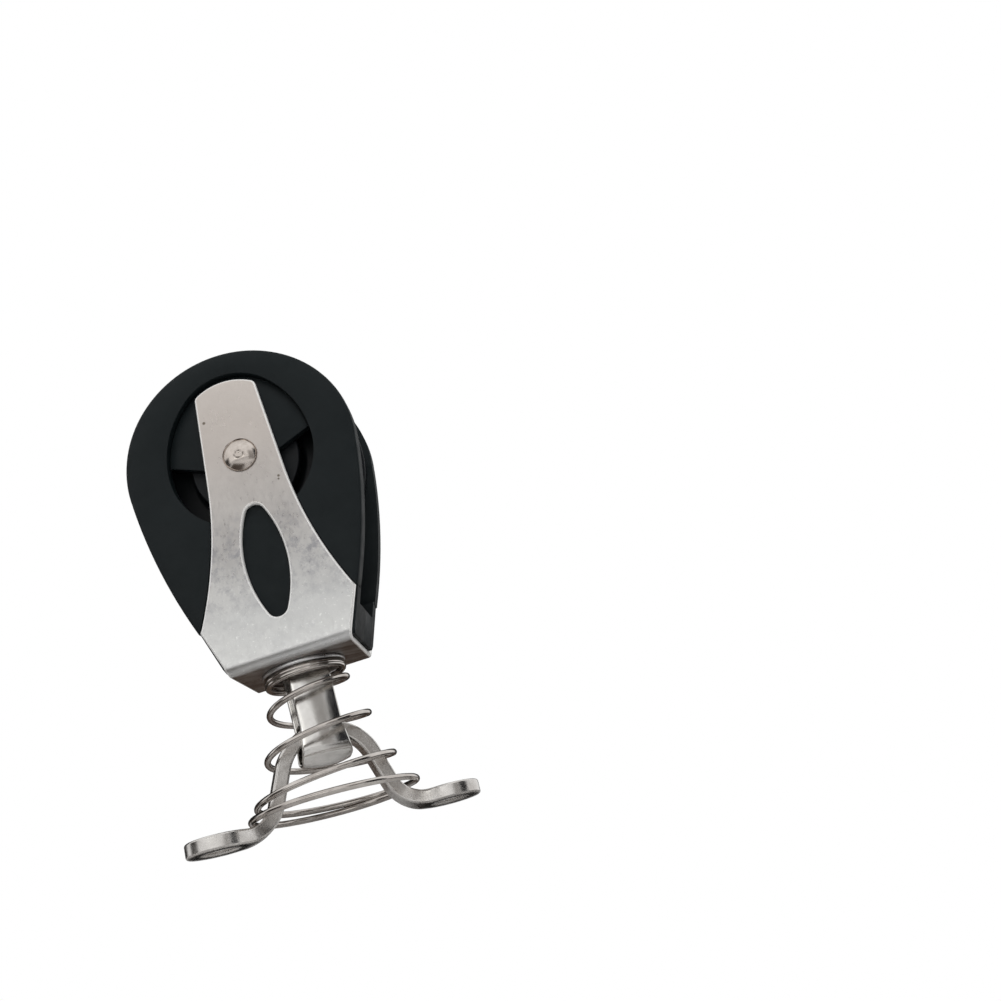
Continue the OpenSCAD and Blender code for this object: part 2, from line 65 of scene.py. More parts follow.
BOW_R, BOW_TOP, STRIP, BOW_W = 11.9, 25.1, 3.5, 5.0
BOW_Z = BOW_TOP - STRIP / 2 - BOW_R
LEG_LEAN = math.radians(20.0)
ANKLE_R, FOOT_X, FOOT_R, HOLE_R, SINK_R, SINK_H = 9.0, 28.2, 7.75, 4.2, 6.2, 2.0
LINK_MID, LINK_T, LINK_ARC_Z, LINK_TOP = 3.85, 1.7, 19.1, 38.5
AXLE_H, TURN, LEAN = 94.4, math.radians(-24.5), math.radians(-2.6)
STRAP_DOWN, STRAP_T, STRAP_MID, STRAP_BEND = 54.8, 1.6, 12.7, 1.8

# The link leans along the bow, and the block is turned on the post


def place(*steps):
    made = Matrix.Identity(4)
    for step in steps:
        made = made @ step
    return made


def shift(x, y, z):
    return Matrix.Translation(Vector((x, y, z)) * MM)


ON_LINK = place(shift(0, 0, BOW_Z), Matrix.Rotation(LEAN, 4, "Y"), shift(0, 0, -BOW_Z))
ON_BLOCK = place(ON_LINK, shift(0, 0, AXLE_H), Matrix.Rotation(TURN, 4, "Z"))
FACE = Matrix.Rotation(math.radians(90), 4, "X")


# Helpers for pieces


def clear_selection():
    if bpy.context.mode != "OBJECT":
        bpy.ops.object.mode_set(mode="OBJECT")
    bpy.ops.object.select_all(action="DESELECT")


def pick(obj):
    clear_selection()
    obj.select_set(True)
    bpy.context.view_layer.objects.active = obj


def apply_all(obj):
    pick(obj)
    for mod in list(obj.modifiers):
        bpy.ops.object.modifier_apply(modifier=mod.name)


def seat(obj, matrix=None):
    """Puts the object's place into its mesh."""
    pick(obj)
    if matrix is not None:
        obj.matrix_world = matrix @ obj.matrix_world
    bpy.ops.object.transform_apply(location=True, rotation=True, scale=True)


def smooth(obj, degrees=32.0):
    pick(obj)
    bpy.ops.object.shade_smooth_by_angle(angle=math.radians(degrees))


def cut_away(obj, cutter):
    mod = obj.modifiers.new("cut", "BOOLEAN")
    mod.operation = "DIFFERENCE"
    mod.solver = "EXACT"
    mod.object = cutter
    pick(obj)
    bpy.ops.object.modifier_apply(modifier=mod.name)
    bpy.data.objects.remove(cutter)


def bevel(obj, width, segments=2, degrees=30.0):
    mod = obj.modifiers.new("edge", "BEVEL")
    mod.width = width * MM
    mod.segments = segments
    mod.limit_method = "ANGLE"
    mod.angle_limit = math.radians(degrees)
    mod.use_clamp_overlap = True


def tidy_mesh(obj, gap=0.001):
    pick(obj)
    bpy.ops.object.mode_set(mode="EDIT")
    bpy.ops.mesh.select_all(action="SELECT")
    bpy.ops.mesh.remove_doubles(threshold=gap * MM)
    bpy.ops.mesh.normals_make_consistent(inside=False)
    bpy.ops.object.mode_set(mode="OBJECT")


def curve_of(name, runs, closed=True, flat=True):
    clear_selection()
    bpy.ops.curve.primitive_nurbs_path_add()
    obj = bpy.context.object
    obj.name = name
    line = obj.data
    line.splines.clear()
    line.dimensions = "2D" if flat else "3D"
    for run in runs:
        spline = line.splines.new("POLY")
        spline.points.add(len(run) - 1)
        for point, spot in zip(spline.points, run):
            x, y, z = (*spot, 0.0) if len(spot) == 2 else spot
            point.co = (x * MM, y * MM, z * MM, 1.0)
        spline.use_cyclic_u = closed
    return obj


def blank(name, outlines, thick, edge, steps=4):
    """A flat sheet cut to its outlines, with rounded edges all round."""
    obj = curve_of(name, outlines)
    line = obj.data
    line.fill_mode = "BOTH"
    line.offset = -edge * MM
    line.extrude = (thick / 2 - edge) * MM
    line.bevel_depth = edge * MM
    line.bevel_resolution = steps
    pick(obj)
    bpy.ops.object.convert(target="MESH")
    obj = bpy.context.object
    seat(obj)
    tidy_mesh(obj)
    # The rim value is 1 on the rounded edges. The strap's finish paints it as a bright highlight.
    rim = obj.data.attributes.new("rim", "FLOAT", "POINT")
    for v, spot in zip(obj.data.vertices, rim.data):
        spot.value = min(1.0, 14.0 * (thick / 2 - abs(v.co.z) / MM) / edge)
    return obj


def bend(obj, cuts, path, axis=1):
    """Cuts the sheet across at each length in cuts, then bends it along the path."""
    pick(obj)
    bpy.ops.object.mode_set(mode="EDIT")
    normal = (1, 0, 0) if axis == 0 else (0, 1, 0)
    for at in cuts:
        bpy.ops.mesh.select_all(action="SELECT")
        spot = [0, 0, 0]
        spot[axis] = at * MM
        bpy.ops.mesh.bisect(plane_co=spot, plane_no=normal)
    bpy.ops.object.mode_set(mode="OBJECT")
    for v in obj.data.vertices:
        v.co = Vector(path(*(v.co / MM))) * MM
    obj.data.update()
    tidy_mesh(obj)


def lathe(name, profile, steps=128, turn=None):
    """Turns a closed profile of radius and height about Z."""
    obj = curve_of(name, [[(r, 0.0, z) for r, z in profile]], closed=True, flat=False)
    pick(obj)
    bpy.ops.object.convert(target="MESH")
    obj = bpy.context.object
    mod = obj.modifiers.new("turned", "SCREW")
    mod.steps = mod.render_steps = steps
    mod.use_merge_vertices = True
    mod.merge_threshold = 0.002 * MM
    apply_all(obj)
    seat(obj, turn)
    tidy_mesh(obj)
    return obj


def ring_points(x, y, r, count=64, start=0.0, end=360.0):
    span = [math.radians(start + (end - start) * i / count) for i in range(count + (end - start != 360))]
    return [(x + r * math.cos(a), y + r * math.sin(a)) for a in span]


def even_shading(obj):
    """Keeps a sheet's wide faces flat to the light beside their rounded edges."""
    mod = obj.modifiers.new("even", "WEIGHTED_NORMAL")
    mod.weight = 100
    mod.keep_sharp = True
    apply_all(obj)


def settle(obj, slot, body, node, angle=35.0, sheet=False):
    smooth(obj, angle)
    if sheet:
        even_shading(obj)
    dress(obj, slot)
    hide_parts(node)
    if body:
        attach(obj, body)


# Finishes


def sockets(node, **values):
    for name, value in values.items():
        node.inputs[name.replace("_", " ")].default_value = value


class Finish:
    """Node tree of one finish, on the piece's own coordinates."""

    def __init__(self, name):
        self.mat = bpy.data.materials.new(name)
        self.mat.use_nodes = True
        self.tree = self.mat.node_tree
        self.shader = self.tree.nodes["Principled BSDF"]
        self.coords = self.tree.nodes.new("ShaderNodeTexCoord").outputs["Object"]

    def node(self, kind, **values):
        made = self.tree.nodes.new("ShaderNode" + kind)
        for name, value in values.items():
            setattr(made, name, value)
        return made

    def link(self, a, b):
        self.tree.links.new(a, b)

    def mapped(self, stretch=(1, 1, 1), turn=(0, 0, 0)):
        spot = self.node("Mapping")
        spot.inputs["Scale"].default_value = stretch
        spot.inputs["Rotation"].default_value = turn
        self.link(self.coords, spot.inputs["Vector"])
        return spot.outputs["Vector"]

    def noise(self, scale, detail=4.0, rough=0.55, stretch=(1, 1, 1), turn=(0, 0, 0)):
        tex = self.node("TexNoise")
        sockets(tex, Scale=scale, Detail=detail, Roughness=rough)
        self.link(self.mapped(stretch, turn), tex.inputs["Vector"])
        return tex.outputs["Fac"]

    def specks(self, scale, size, stretch=(1, 1, 1)):
        """Small round spots: 1 in a spot and 0 outside."""
        tex = self.node("TexVoronoi")
        sockets(tex, Scale=scale, Randomness=1.0)
        self.link(self.mapped(stretch), tex.inputs["Vector"])
        return self.span(tex.outputs["Distance"], 1.0, 0.0, size * 0.6, size)

    def math(self, kind, a, b):
        made = self.node("Math", operation=kind)
        for value, target in ((a, made.inputs[0]), (b, made.inputs[1])):
            if isinstance(value, bpy.types.NodeSocket):
                self.link(value, target)
            else:
                target.default_value = value
        return made.outputs[0]

    def blend(self, factor, a, b, kind="MIX"):
        made = self.node("Mix", data_type="RGBA", blend_type=kind)
        self.link(factor, made.inputs["Factor"])
        for value, target in ((a, made.inputs[6]), (b, made.inputs[7])):
            if isinstance(value, bpy.types.NodeSocket):
                self.link(value, target)
            else:
                target.default_value = (*value, 1.0)
        return made.outputs[2]

    def ramp(self, value, stops):
        made = self.node("ValToRGB")
        cr = made.color_ramp
        while len(cr.elements) < len(stops):
            cr.elements.new(0.5)
        for el, (pos, col) in zip(cr.elements, stops):
            el.position = pos
            el.color = col if len(col) == 4 else (*col, 1.0)
        self.link(value, made.inputs["Fac"])
        return made.outputs["Color"]

    def span(self, value, low, high, start=0.0, end=1.0):
        made = self.node("MapRange")
        made.inputs["From Min"].default_value = start
        made.inputs["From Max"].default_value = end
        made.inputs["To Min"].default_value = low
        made.inputs["To Max"].default_value = high
        self.link(value, made.inputs["Value"])
        return made.outputs["Result"]

    def bump(self, value, height, strength=1.0, after=None):
        made = self.node("Bump")
        sockets(made, Strength=strength, Distance=height)
        self.link(value, made.inputs["Height"])
        if after is not None:
            self.link(after, made.inputs["Normal"])
        return made.outputs["Normal"]

    def set(self, name, value):
        target = self.shader.inputs[name]
        if isinstance(value, bpy.types.NodeSocket):
            self.link(value, target)
        else:
            target.default_value = value


def polished_steel():
    f = Finish("polished_steel")
    f.set("Metallic", 1.0)
    soft = f.noise(160.0, 3.0)
    f.set("Base Color", f.ramp(soft, [(0.3, (0.60, 0.58, 0.555)), (0.7, (0.76, 0.745, 0.72))]))
    scratch = f.noise(1400.0, 5.0, 0.6, (1.0, 1.0, 0.10))
    f.set("Roughness", f.span(scratch, 0.13, 0.24, 0.3, 0.7))
    worn = f.bump(scratch, 0.00001, 0.25)
    f.set("Normal", f.bump(soft, 0.0002, 0.20, worn))
    return f.mat


def cast_steel():
    f = Finish("cast_steel")
    f.set("Metallic", 1.0)
    soft = f.noise(190.0, 4.0)
    tone = f.ramp(soft, [(0.3, (0.52, 0.495, 0.47)), (0.7, (0.73, 0.71, 0.685))])
    pits = f.math("MULTIPLY", f.specks(700.0, 0.16), f.span(f.noise(110.0, 2.0), 0.0, 0.7, 0.52, 0.62))
    f.set("Base Color", f.blend(pits, tone, (0.34, 0.31, 0.28)))
    grain = f.noise(900.0, 4.0, 0.55)
    f.set("Roughness", f.span(grain, 0.20, 0.30, 0.3, 0.7))
    worn = f.bump(grain, 0.00001, 0.30)
    f.set("Normal", f.bump(soft, 0.0003, 0.22, worn))
    return f.mat


def satin_steel():
    f = Finish("satin_steel")
    cloud = f.noise(70.0, 5.0, 0.62)
    split = f.node("SeparateXYZ")
    f.link(f.coords, split.inputs[0])
    high = f.span(split.outputs["Z"], 0.0, 1.0, 0.052, 0.098)
    cool = f.ramp(cloud, [(0.3, (0.50, 0.50, 0.50)), (0.5, (0.58, 0.58, 0.575)), (0.72, (0.64, 0.64, 0.63))])
    warm = f.ramp(cloud, [(0.3, (0.565, 0.515, 0.475)), (0.7, (0.62, 0.57, 0.53))])
    tone = f.blend(high, cool, warm)
    # Painted glints: fine near-white specks are painted into the colour on the lower end of the strap, standing in for
    # sparkle of light.
    fine = f.noise(1500.0, 3.0, 0.7)
    low = f.span(split.outputs["Z"], 1.0, 0.0, 0.050, 0.074)
    painted_glints = f.math("MULTIPLY", f.span(fine, 0.0, 0.55, 0.62, 0.70), low)
    tone = f.blend(painted_glints, tone, (0.95, 0.95, 0.93))
    grime = f.span(f.noise(380.0, 5.0, 0.75), 0.0, 0.75, 0.46, 0.66)
    belt = f.math("MULTIPLY", f.span(split.outputs["Z"], 1.0, 0.0, 0.066, 0.082), f.span(split.outputs["Z"], 0.1, 1.0, 0.050, 0.064))
    tone = f.blend(f.math("MULTIPLY", grime, belt), tone, (0.27, 0.27, 0.30))
    # Painted shade: faces that point down are darkened in dark brown streaks, standing in for shade and the brown
    # reflection from below.
    facing = f.node("SeparateXYZ")
    f.link(f.node("TexCoord").outputs["Normal"], facing.inputs[0])
    painted_under_shade = f.span(facing.outputs["Z"], 1.0, 0.0, -0.99, -0.90)
    streak = f.span(f.noise(300.0, 4.0, 0.7, (0.14, 1.0, 1.0)), 0.35, 0.95, 0.44, 0.60)
    tone = f.blend(f.math("MULTIPLY", streak, painted_under_shade), tone, (0.19, 0.145, 0.12))
    for spot, size in (((-16.32, -9.35, 105.38), 0.42), ((-1.49, -15.69, 85.73), 0.36), ((-1.62, -15.6, 84.9), 0.28)):
        far = f.node("VectorMath", operation="DISTANCE")
        far.inputs[1].default_value = [v * MM for v in spot]
        f.link(f.coords, far.inputs[0])
        tone = f.blend(f.span(far.outputs["Value"], 0.85, 0.0, size * 0.6 * MM, size * 1.2 * MM), tone, (0.10, 0.08, 0.05))
    # Painted highlight: the rounded edges are painted near white, and they are made less metallic and smoother.
    rim = f.node("Attribute", attribute_name="rim")
    f.set("Base Color", f.blend(rim.outputs["Fac"], tone, (0.93, 0.92, 0.90)))
    f.set("Metallic", f.span(rim.outputs["Fac"], 1.0, 0.35, 0.0, 1.0))
    grain = f.noise(1700.0, 4.0, 0.6, (1.0, 1.0, 0.35))
    rough = f.math("ADD", f.span(grain, 0.24, 0.36, 0.3, 0.7), f.span(cloud, 0.0, 0.06, 0.35, 0.7))
    f.set("Roughness", f.math("SUBTRACT", rough, f.math("MULTIPLY", rim.outputs["Fac"], 0.12)))
    worn = f.bump(grain, 0.00001, 0.35)
    f.set("Normal", f.bump(cloud, 0.0006, 0.22, worn))
    return f.mat


def spring_wire():
    f = Finish("spring_wire")
    f.set("Metallic", 1.0)
    cloud = f.noise(140.0, 4.0, 0.6)
    f.set("Base Color", f.ramp(cloud, [(0.3, (0.38, 0.345, 0.32)), (0.7, (0.62, 0.585, 0.55))]))
    f.set("Roughness", f.span(cloud, 0.07, 0.16, 0.3, 0.7))
    drawn = f.noise(2200.0, 2.0, 0.5, (0.5, 0.5, 1.0))
    f.set("Normal", f.bump(drawn, 0.00001, 0.25))
    return f.mat


def rivet_steel():
    f = Finish("rivet_steel")
    f.set("Metallic", 1.0)
    cloud = f.noise(420.0, 4.0, 0.6)
    f.set("Base Color", f.ramp(cloud, [(0.3, (0.46, 0.41, 0.37)), (0.7, (0.68, 0.62, 0.57))]))
    f.set("Roughness", f.span(cloud, 0.12, 0.24, 0.3, 0.7))
    f.set("Normal", f.bump(cloud, 0.00008, 0.30))
    return f.mat


def black_shell():
    f = Finish("black_shell")
    cloud = f.noise(50.0, 4.0, 0.6)
    f.set("Base Color", f.ramp(cloud, [(0.3, (0.0040, 0.0070, 0.0080)), (0.7, (0.0066, 0.0100, 0.0112))]))
    f.set("Specular IOR Level", 0.18)
    f.set("Roughness", f.span(f.noise(240.0, 3.0), 0.42, 0.56, 0.3, 0.7))
    grain = f.noise(3200.0, 2.0)
    f.set("Normal", f.bump(grain, 0.00002, 0.35))
    return f.mat


def black_sheave():
    f = Finish("black_sheave")
    cloud = f.noise(70.0, 4.0, 0.6)
    f.set("Base Color", f.ramp(cloud, [(0.3, (0.0040, 0.0050, 0.0060)), (0.7, (0.0072, 0.0088, 0.0105))]))
    f.set("Specular IOR Level", 0.20)
    f.set("Roughness", f.span(f.noise(300.0, 3.0), 0.32, 0.46, 0.3, 0.7))
    grain = f.noise(2400.0, 3.0)
    f.set("Normal", f.bump(grain, 0.00002, 0.3))
    return f.mat


def red_plastic():
    f = Finish("red_plastic")
    cloud = f.noise(300.0, 3.0)
    f.set("Base Color", f.ramp(cloud, [(0.3, (0.30, 0.035, 0.022)), (0.7, (0.42, 0.05, 0.03))]))
    f.set("Roughness", f.span(cloud, 0.35, 0.5, 0.3, 0.7))
    f.set("Normal", f.bump(f.noise(2500.0, 2.0), 0.00002, 0.3))
    return f.mat


FINISHES = {
    "polished_steel": polished_steel,
    "cast_steel": cast_steel,
    "satin_steel": satin_steel,
    "spring_steel": spring_wire,
    "rivet_steel": rivet_steel,
    "black_shell": black_shell,
    "black_sheave": black_sheave,
    "red_washer": red_plastic,
}
MADE = {}


def finish_for(slot):
    if slot not in MADE:
        MADE[slot] = FINISHES[slot]()
    return MADE[slot]


def dress(obj, slot):
    obj.data.materials.clear()
    obj.data.materials.append(finish_for(slot))


# Settings


class SpringSettings(bpy.types.PropertyGroup):
    wire: bpy.props.FloatProperty(
        name="Wire", description="Diameter of the spring wire", default=1.6 * MM, unit="LENGTH"
    )


class SteelSettings(bpy.types.PropertyGroup):
    saddle_edge: bpy.props.FloatProperty(
        name="Saddle edge", description="Rounding of the saddle's edges", default=0.6 * MM, unit="LENGTH"
    )
    link_edge: bpy.props.FloatProperty(
        name="Link edge", description="Rounding of the link's edges", default=0.4 * MM, unit="LENGTH"
    )
    strap_edge: bpy.props.FloatProperty(
        name="Strap edge", description="Rounding of the strap's edges", default=0.6 * MM, unit="LENGTH"
    )


# Pieces


def eased(ts, vs, t, w=0.22, n=6):
    def along(x):
        for i in range(len(ts) - 1):
            if x < ts[i + 1] or i == len(ts) - 2:
                return vs[i] + (vs[i + 1] - vs[i]) * (x - ts[i]) / (ts[i + 1] - ts[i])

    near = [min(ts[-1], max(ts[0], t + w * k / n)) for k in range(-n, n + 1)]
    return sum(along(x) for x in near) / (2 * n + 1)


class BLOCK_OT_spring(bpy.types.Operator):
    """Winds the conical spring from round wire"""

    bl_idname = "block.spring"
    bl_label = "Spring"

    def execute(self, context):
        wire = context.scene.block_spring.wire / MM
        top = AXLE_H - STRAP_DOWN - 1.0 - wire / 2 - 0.05
        low = 4.064 + wire / 2 + 0.2
        rise = top - low
        turns = [0, 0.9, 1.9, 2.5, 3, 3.5, 4, 4.5, 4.8, 5, 5.4, 5.7, 5.95]
        wide = [0, 0, 0, 0.095, 0.282, 0.373, 0.564, 0.809, 0.86, 0.964, 1, 0.93, 0.80]
        high = [1, 0.995, 1 - (wire + 0.1) / rise, 0.766, 0.61, 0.425, 0.279, 0.084, 0.068, 0.036, 0.002, 0.012, 0.016]
        radii = [9.5 + k * 11.0 for k in wide]
        level = [low + k * rise for k in high]
        count = 600
        run = []
        for i in range(count + 1):
            t = turns[-1] * i / count
            r, a, z = eased(turns, radii, t), -2 * math.pi * t, eased(turns, level, t)
            k = min(1.0, max(0.0, (z - low) / rise))
            lean, h = LEAN * k * (2 - k), z - BOW_Z
            x, y = r * math.cos(a), r * math.sin(a)
            run.append((x * math.cos(lean) + h * math.sin(lean), y,
                        BOW_Z - x * math.sin(lean) + h * math.cos(lean)))
        spring = curve_of("spring_wound", [run], closed=False, flat=False)
        spring.data.bevel_depth = wire / 2 * MM
        spring.data.bevel_resolution = 5
        spring.data.use_fill_caps = True
        pick(spring)
        bpy.ops.object.convert(target="MESH")
        spring = context.object
        seat(spring)
        bevel(spring, 0.2, 2, 60)
        apply_all(spring)
        settle(spring, "spring_steel", None, "spring", 50)
        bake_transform(spring)
        return {"FINISHED"}


def saddle_lengths():
    bow = BOW_R * (math.pi / 2 - LEG_LEAN)
    leg_z0 = BOW_Z + BOW_R * math.sin(LEG_LEAN)
    leg_z1 = STRIP / 2 + ANKLE_R * (1 - math.sin(LEG_LEAN))
    leg = (leg_z0 - leg_z1) / math.cos(LEG_LEAN)
    ankle = ANKLE_R * (math.pi / 2 - LEG_LEAN)
    ankle_x = BOW_R * math.cos(LEG_LEAN) + leg * math.sin(LEG_LEAN) + ANKLE_R * math.cos(LEG_LEAN)
    return bow, bow + leg, bow + leg + ankle, ankle_x


def saddle_path(u, w, n):
    """From the flat strip, length u from the crown, to its bent place."""
    bow, leg, ankle, ankle_x = saddle_lengths()
    side, u = (-1 if u < 0 else 1), abs(u)
    if u <= bow:
        a = u / BOW_R
        x, z = (BOW_R + n) * math.sin(a), BOW_Z + (BOW_R + n) * math.cos(a)
    elif u <= leg:
        a, d = LEG_LEAN, u - bow
        x = (BOW_R + n) * math.cos(a) + d * math.sin(a)
        z = BOW_Z + (BOW_R + n) * math.sin(a) - d * math.cos(a)
    elif u <= ankle:
        a = LEG_LEAN + (u - leg) / ANKLE_R
        x = ankle_x - (ANKLE_R - n) * math.cos(a)
        z = STRIP / 2 + ANKLE_R - (ANKLE_R - n) * math.sin(a)
    else:
        x, z = ankle_x + u - ankle, STRIP / 2 + n
    return side * x, w, z


class BLOCK_OT_saddle(bpy.types.Operator):
    """Cuts the saddle flat with its two eyes, sinks the holes and bends it over its bow"""

    bl_idname = "block.saddle"
    bl_label = "Saddle"

    def execute(self, context):
        bow, leg, ankle, ankle_x = saddle_lengths()
        eye = ankle + FOOT_X - ankle_x
        flare = leg + 1.6
        w = BOW_W / 2
        reach = eye - flare
        r = (reach * reach / (FOOT_R - w) - FOOT_R - w) / 2
        last = math.atan2(w + r, reach)
        side = [(flare + r * math.sin(a), w + r - r * math.cos(a))
                for a in [(math.pi / 2 - last) * i / 24 for i in range(25)]]
        around = math.pi - last
        side += [(eye + FOOT_R * math.cos(a), FOOT_R * math.sin(a))
                 for a in [around - around * i / 40 for i in range(1, 41)]]
        right = side + [(x, -y) for x, y in reversed(side[:-1])]
        outline = right + [(-x, -y) for x, y in right]
        holes = [list(reversed(ring_points(s * eye, 0, HOLE_R, 72))) for s in (-1, 1)]
        edge = context.scene.block_steel.saddle_edge / MM
        saddle = blank("saddle_bent", [outline] + holes, STRIP, edge, 5)
        for s in (-1, 1):
            clear_selection()
            bpy.ops.mesh.primitive_cone_add(
                vertices=96, radius1=HOLE_R * MM, radius2=(SINK_R + 1.0) * MM,
                depth=(SINK_H + 1.0) * MM,
                location=(s * eye * MM, 0, (STRIP / 2 - SINK_H + (SINK_H + 1.0) / 2) * MM))
            cut_away(saddle, context.object)
        cuts = [bow * i / 18 for i in range(19)] + [leg + (ankle - leg) * i / 16 for i in range(17)]
        bend(saddle, sorted({round(s * c, 4) for c in cuts for s in (-1, 1)}), saddle_path, 0)
        settle(saddle, "polished_steel", "base", "saddle", 32, True)
        dress(saddle, "cast_steel")
        return {"FINISHED"}


def link_half(z):
    """Half width of the link at height z."""
    if z > 24.1:
        return 5.2
    if z > 16.1:
        return 5.2 + 1.2 * (24.1 - z) / 8.0
    return 6.4 - 0.85 * (16.1 - z) / 2.7


def link_height(u):
    quarter = LINK_MID * math.pi / 2
    if u > quarter:
        return LINK_ARC_Z + u - quarter
    return LINK_ARC_Z - LINK_MID * math.sin((quarter - u) / LINK_MID)


def link_line():
    """Points of the link's middle line, 0.05 apart, as its bend eases into the straight leg."""
    quarter, ease, step = LINK_MID * math.pi / 2, 1.5, 0.05
    y, z, a, run = 0.0, LINK_ARC_Z - LINK_MID, 0.0, []
    for i in range(int((quarter + ease) / step) + 2):
        run.append((y, z, a))
        near = min(1.0, max(0.0, (quarter + ease - i * step) / (2 * ease)))
        a = min(math.pi / 2, a + near * step / LINK_MID)
        y, z = y + math.cos(a) * step, z + math.sin(a) * step
    return run


LINK_LINE = link_line()


def link_path(x, u, n):
    side, u = (1 if u < 0 else -1), abs(u)
    if n > 0:
        low = min(1.0, max(0.0, (32.0 - link_height(u)) / 14.0))
        n -= (0.62 + 0.33 * low) * (x / link_half(link_height(u))) ** 2
    i = min(int(u / 0.05), len(LINK_LINE) - 1)
    y, z, a = LINK_LINE[i]
    rest = u - i * 0.05
    y, z = y + rest * math.cos(a), z + rest * math.sin(a)
    return x, side * (y + n * math.sin(a)), z - n * math.cos(a)


class BLOCK_OT_link(bpy.types.Operator):
    """Bends the swivel link round under the bow"""

    bl_idname = "block.link"
    bl_label = "Swivel link"

    def execute(self, context):
        quarter = LINK_MID * math.pi / 2
        top = quarter + LINK_TOP - LINK_ARC_Z
        span = [top * i / 60 for i in range(61)]
        up = [(link_half(link_height(u)), u) for u in span]
        right = [(x, -u) for x, u in reversed(up[1:])] + up
        outline = right + [(-x, -u) for x, u in right]
        edge = context.scene.block_steel.link_edge / MM
        link = blank("link_bent", [outline], LINK_T, edge, 4)
        across = [(quarter + 2.0) * i / 20 for i in range(21)] + [quarter + 5.0, quarter + 9.0, quarter + 14.0]
        bend(link, sorted({round(s * c, 4) for c in across for s in (-1, 1)}), lambda x, u, n: (x, u, n))
        pick(link)
        bpy.ops.object.mode_set(mode="EDIT")
        for at in (-5.4, -4.7, -4.0, -3.2, -2.4, -1.6, -0.8, 0.0, 0.8, 1.6, 2.4, 3.2, 4.0, 4.7, 5.4):
            bpy.ops.mesh.select_all(action="SELECT")
            bpy.ops.mesh.bisect(plane_co=(at * MM, 0, 0), plane_no=(1, 0, 0))
        bpy.ops.object.mode_set(mode="OBJECT")
        bend(link, [], link_path)
        seat(link, ON_LINK)
        settle(link, "polished_steel", "link", "swivel_link", 34, True)
        return {"FINISHED"}


def oval(w, h, e, x=0.0, y=0.0):
    """An oval of two long arcs and two end arcs."""
    r = ((h - e) ** 2 - e * e + w * w) / (2 * (w - e))
    a = math.degrees(math.atan2(h - e, r - w))
    top = ring_points(w - r, 0, r, 28, 0, a) + ring_points(0, h - e, e, 24, a + 2, 178 - a)
    top += ring_points(r - w, 0, r, 28, 180 - a, 180)
    return [(x + p, y + q) for p, q in top[:-1]] + [(x - p, y - q) for p, q in top[:-1]]


def strap_right():
    """Right half of the strap's face, from its lower corner up to the middle of its top."""
    w_top, up, taper, end_r, corner = 17.0, 21.8, math.radians(4.36), 14.5, 1.8
    bend_z, side_r, shoulder = -6.0, 104.0, 12.6 - STRAP_DOWN

    def half(z):
        return w_top / 2 + (15 - z) * math.tan(taper)

    def corner_z(x):
        return up - end_r + math.sqrt((end_r - corner) ** 2 - x * x)

    cx, cz = half(bend_z) + side_r * math.cos(taper), bend_z + side_r * math.sin(taper)
    low = math.degrees(math.asin((cz - shoulder) / side_r))
    x = half(18) - corner / math.cos(taper)
    for _ in range(3):
        z = corner_z(x)
        x = half(z) - corner / math.cos(taper)
    z = corner_z(x)
    a = math.degrees(math.atan2(z - up + end_r, x))
    t = math.degrees(taper)
    return ([(19.7, shoulder)] + ring_points(cx, cz, side_r, 30, 180 + low, 180 + t)[1:]
            + ring_points(x, z, corner, 8, t, a) + ring_points(0, up - end_r, end_r, 12, a + 1.5, 90))


def strap_path(x, u, n):
    """From the flat strap to its bent place, u from the middle of its base."""
    flat = STRAP_MID - STRAP_BEND
    turn = STRAP_BEND * math.pi / 2
    low = STRAP_T / 2 - STRAP_DOWN
    side, u = (1 if u < 0 else -1), abs(u)
    if u <= flat:
        return x, side * u, low - n
    if u <= flat + turn:
        a, r = (u - flat) / STRAP_BEND, STRAP_BEND + n
        return x, side * (flat + r * math.sin(a)), low + STRAP_BEND - r * math.cos(a)
    return x, side * (STRAP_MID + n), low + STRAP_BEND + u - flat - turn


class BLOCK_OT_strap(bpy.types.Operator):
    """Cuts the strap flat with its windows and folds it round the head"""

    bl_idname = "block.strap"
    bl_label = "Strap"

    def execute(self, context):
        flat = STRAP_MID - STRAP_BEND
        turn = STRAP_BEND * math.pi / 2
        lift = flat + turn + STRAP_DOWN - STRAP_T / 2 - STRAP_BEND
        face = [(x, z + lift) for x, z in strap_right()]
        slope = 4.4 / 12.6
        low = [(15.45, 0.0), (15.45, flat), (15.62, flat + turn * 0.5), (15.45 + slope * 1.7, flat + turn)]
        right = low + face
        half = right + [(-x, u) for x, u in reversed(right[:-1])]
        outline = half[:-1] + [(-x, -u) for x, u in half[:-1]]
        holes = [ring_points(0, 0, 4.0, 64)]
        for s in (-1, 1):
            holes.append(oval(5.35, 15.0, 2.6, 0, s * (lift - 29.0)))
            holes.append(ring_points(0, s * lift, 3.05, 48))
        edge = context.scene.block_steel.strap_edge / MM
        strap = blank("strap_folded", [outline] + [list(reversed(h)) for h in holes], STRAP_T, edge, 4)
        across = [flat + turn * i / 12 for i in range(13)]
        bend(strap, sorted(s * c for c in across for s in (-1, 1)), strap_path)
        seat(strap, ON_BLOCK)
        settle(strap, "satin_steel", "head", "strap", 35, True)
        return {"FINISHED"}


